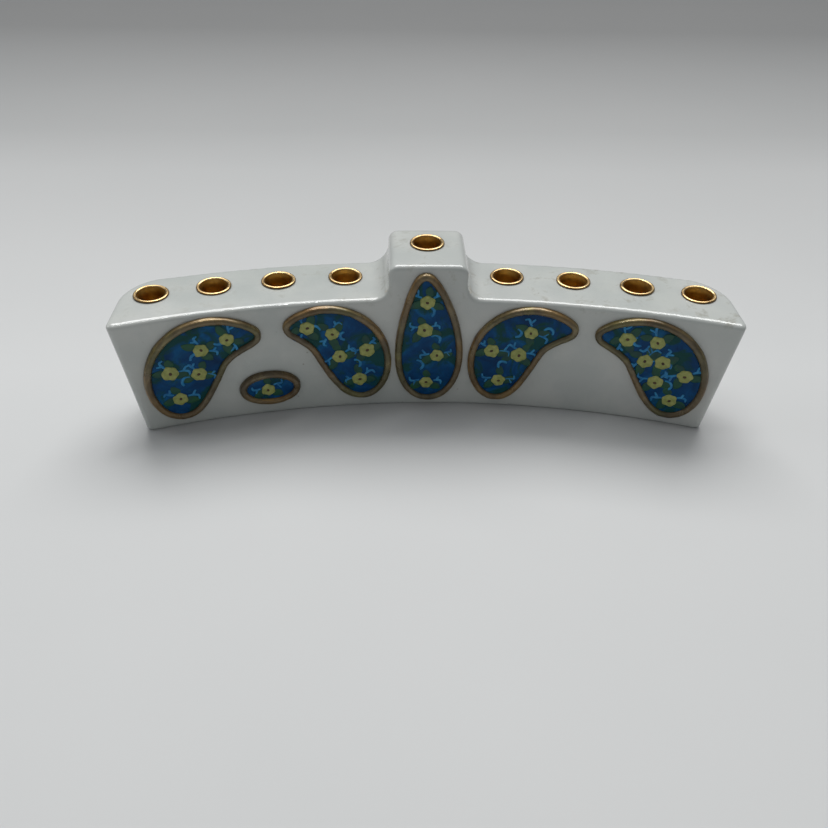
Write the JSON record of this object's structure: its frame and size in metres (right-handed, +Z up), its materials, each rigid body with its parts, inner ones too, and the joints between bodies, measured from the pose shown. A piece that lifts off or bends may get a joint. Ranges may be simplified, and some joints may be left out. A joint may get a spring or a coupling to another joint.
{
  "type": "menorah",
  "caption": "Curved white ceramic candle bar with a raised middle block, lift-out brass cups and floral enamel reliefs on its hollow front face.",
  "frame": {"origin": "middle of the foot, on the surface that the part stands on", "axes": "+X along the bar to the viewer's right, +Y to the rear, away from the hollow decorated face, +Z up"},
  "size_m": [0.252, 0.0558, 0.0694],
  "materials": {
    "white_glaze": "glossy white glaze with small dark specks",
    "brass": "polished, slightly tarnished",
    "gold_lustre": "raised outline in dull bronze-gold lustre",
    "blue_enamel": "glossy blue enamel with painted flowers and leaves"
  },
  "bodies": {
    "bar": {"ceramic_body": "white_glaze", "left_paisley_rim": "gold_lustre", "left_oval_rim": "gold_lustre", "left_leaf_rim": "gold_lustre", "flame_rim": "gold_lustre", "right_leaf_rim": "gold_lustre", "right_paisley_rim": "gold_lustre", "left_paisley_enamel": "blue_enamel", "left_oval_enamel": "blue_enamel", "left_leaf_enamel": "blue_enamel", "flame_enamel": "blue_enamel", "right_leaf_enamel": "blue_enamel", "right_paisley_enamel": "blue_enamel"},
    "shamash_cup": {"shamash_cup": "brass"},
    "left_cup_1": {"left_cup_1": "brass"},
    "left_cup_2": {"left_cup_2": "brass"},
    "left_cup_3": {"left_cup_3": "brass"},
    "left_cup_4": {"left_cup_4": "brass"},
    "right_cup_1": {"right_cup_1": "brass"},
    "right_cup_2": {"right_cup_2": "brass"},
    "right_cup_3": {"right_cup_3": "brass"},
    "right_cup_4": {"right_cup_4": "brass"}
  },
  "joints": [
    {"name": "shamash_cup_lift", "type": "slide", "parent": "bar", "child": "shamash_cup", "axis": [0, 0, 1], "range_m": [0, 0.03]},
    {"name": "left_cup_1_lift", "type": "slide", "parent": "bar", "child": "left_cup_1", "axis": [0, 0, 1], "range_m": [0, 0.03]},
    {"name": "left_cup_2_lift", "type": "slide", "parent": "bar", "child": "left_cup_2", "axis": [0, 0, 1], "range_m": [0, 0.03]},
    {"name": "left_cup_3_lift", "type": "slide", "parent": "bar", "child": "left_cup_3", "axis": [0, 0, 1], "range_m": [0, 0.03]},
    {"name": "left_cup_4_lift", "type": "slide", "parent": "bar", "child": "left_cup_4", "axis": [0, 0, 1], "range_m": [0, 0.03]},
    {"name": "right_cup_1_lift", "type": "slide", "parent": "bar", "child": "right_cup_1", "axis": [0, 0, 1], "range_m": [0, 0.03]},
    {"name": "right_cup_2_lift", "type": "slide", "parent": "bar", "child": "right_cup_2", "axis": [0, 0, 1], "range_m": [0, 0.03]},
    {"name": "right_cup_3_lift", "type": "slide", "parent": "bar", "child": "right_cup_3", "axis": [0, 0, 1], "range_m": [0, 0.03]},
    {"name": "right_cup_4_lift", "type": "slide", "parent": "bar", "child": "right_cup_4", "axis": [0, 0, 1], "range_m": [0, 0.03]}
  ]
}
